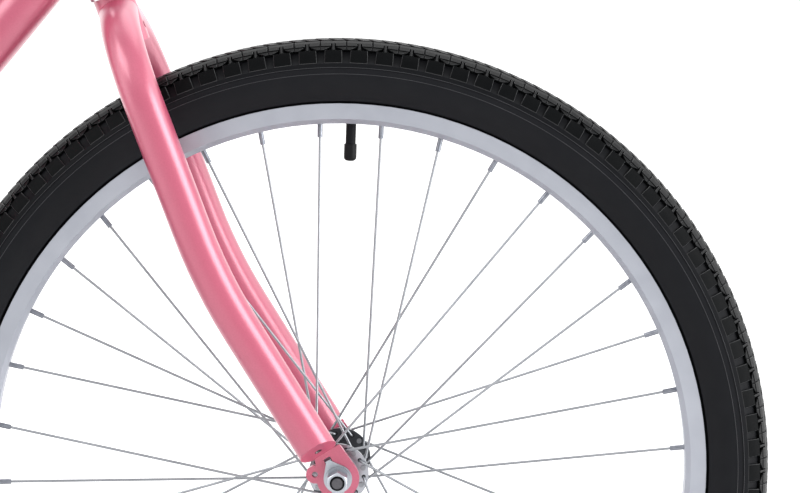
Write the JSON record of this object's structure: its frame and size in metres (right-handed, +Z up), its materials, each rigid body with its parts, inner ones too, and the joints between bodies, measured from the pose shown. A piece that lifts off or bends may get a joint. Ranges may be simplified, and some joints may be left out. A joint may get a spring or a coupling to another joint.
{
  "type": "beach cruiser bicycle",
  "caption": "Beach cruiser bicycle on its kickstand: swooping pink frame, unicrown fork, balloon tyres, swept-back bar, sprung saddle and a chain drive with coaster brake.",
  "frame": {"origin": "on the ground, under the middle of the bicycle's box", "axes": "+X forward, +Y to the rider's left, +Z up; the bicycle leans to its left on the kickstand"},
  "size_m": [1.8027, 0.6989, 1.0905],
  "materials": {
    "pink_paint": "pearl gloss",
    "bright_chrome": "polished",
    "rim_alloy": "satin",
    "hub_alloy": "polished",
    "zinc_steel": "zinc plated",
    "dark_steel": "blackened",
    "tyre_rubber": "matte",
    "black_rubber": "matte",
    "black_plastic": "matte",
    "black_vinyl": "soft grain"
  },
  "bodies": {
    "frame": {"head_tube": "pink_paint", "top_tube": "pink_paint", "down_tube": "pink_paint", "seat_tube": "pink_paint", "bottom_bracket_shell": "pink_paint", "rear_stays": "pink_paint", "bearing_cups": "bright_chrome", "crank_bearings": "zinc_steel", "seat_collar": "bright_chrome", "frame_bolts": "zinc_steel", "chain_guard": "pink_paint", "chain": "dark_steel", "kickstand_bracket": "zinc_steel", "rear_axle": "dark_steel", "rear_cones": "zinc_steel", "rear_axle_nuts": "zinc_steel", "brake_arm": "zinc_steel", "brake_arm_strap": "zinc_steel", "brake_shoes": "zinc_steel"},
    "fork_and_handlebar": {"fork": "pink_paint", "headset_races": "bright_chrome", "headset_bearings": "zinc_steel", "front_axle": "dark_steel", "front_cones": "zinc_steel", "front_axle_nuts": "zinc_steel", "front_tab_washers": "zinc_steel", "stem": "bright_chrome", "stem_bolts": "zinc_steel", "handlebar": "bright_chrome", "left_grip": "black_rubber", "right_grip": "black_rubber"},
    "front_wheel": {"front_tyre": "tyre_rubber", "front_inner_tube": "black_rubber", "front_valve_cap": "black_plastic", "front_rim": "rim_alloy", "front_spokes": "zinc_steel", "front_nipples": "zinc_steel", "front_hub_shell": "hub_alloy", "front_hub_bearings": "zinc_steel"},
    "rear_wheel": {"rear_tyre": "tyre_rubber", "rear_inner_tube": "black_rubber", "rear_valve_cap": "black_plastic", "rear_rim": "rim_alloy", "rear_spokes": "zinc_steel", "rear_nipples": "zinc_steel", "rear_hub_shell": "hub_alloy"},
    "driver": {"rear_sprocket": "zinc_steel"},
    "crank_set": {"crank": "bright_chrome", "chainring": "bright_chrome", "pedal_spindles": "zinc_steel"},
    "left_pedal": {"left_pedal": "black_rubber"},
    "right_pedal": {"right_pedal": "black_rubber"},
    "seat_post": {"seat_post": "bright_chrome", "saddle_clamp": "zinc_steel", "saddle_rails": "bright_chrome", "saddle_springs": "bright_chrome"},
    "saddle": {"saddle_pan": "dark_steel", "saddle_pad": "black_vinyl"},
    "kickstand": {"kickstand_leg": "zinc_steel", "kickstand_foot": "black_rubber"}
  },
  "joints": [
    {"name": "steering", "type": "hinge", "parent": "frame", "child": "fork_and_handlebar", "pos_m": [0.38411, -0.02189, 0.71891], "axis": [-0.3469, 0.0654, 0.9356], "range_deg": [-80, 80]},
    {"name": "front_wheel_spin", "type": "hinge", "parent": "fork_and_handlebar", "child": "front_wheel", "pos_m": [0.565, -0.04868, 0.33575], "axis": [0, 0.9976, -0.0698], "continuous": true},
    {"name": "rear_wheel_spin", "type": "hinge", "parent": "frame", "child": "rear_wheel", "pos_m": [-0.565, -0.04868, 0.33575], "axis": [0, 0.9976, -0.0698], "continuous": true},
    {"name": "crank_spin", "type": "hinge", "parent": "frame", "child": "crank_set", "pos_m": [-0.095, -0.05192, 0.28936], "axis": [0, 0.9976, -0.0698], "continuous": true, "deforming": ["chain"]},
    {"name": "driver_spin", "type": "hinge", "parent": "frame", "child": "driver", "pos_m": [-0.565, -0.04868, 0.33575], "axis": [0, 0.9976, -0.0698], "continuous": true},
    {"name": "left_pedal_spin", "type": "hinge", "parent": "crank_set", "child": "left_pedal", "pos_m": [-0.263, -0.05192, 0.28936], "axis": [0, 0.9976, -0.0698], "continuous": true},
    {"name": "right_pedal_spin", "type": "hinge", "parent": "crank_set", "child": "right_pedal", "pos_m": [0.073, -0.05192, 0.28936], "axis": [0, 0.9976, -0.0698], "continuous": true},
    {"name": "kickstand_fold", "type": "hinge", "parent": "frame", "child": "kickstand", "pos_m": [-0.35605, 0.0316, 0.30039], "axis": [0.0092, 0.9181, 0.3962], "range_deg": [0, 82.88]},
    {"name": "seat_height", "type": "slide", "parent": "frame", "child": "seat_post", "axis": [-0.3746, 0.0647, 0.9249], "range_m": [-0.05, 0.05]},
    {"name": "saddle_bounce", "type": "hinge", "parent": "seat_post", "child": "saddle", "pos_m": [-0.18203, -0.01444, 0.82542], "axis": [0, -0.9976, 0.0698], "range_deg": [0, 4], "stiffness_Nm_per_rad": 1200, "deforming": ["saddle_springs"]}
  ],
  "couplings": [
    {"joint": "driver_spin", "follows": "crank_spin", "ratio": 2.4444}
  ]
}
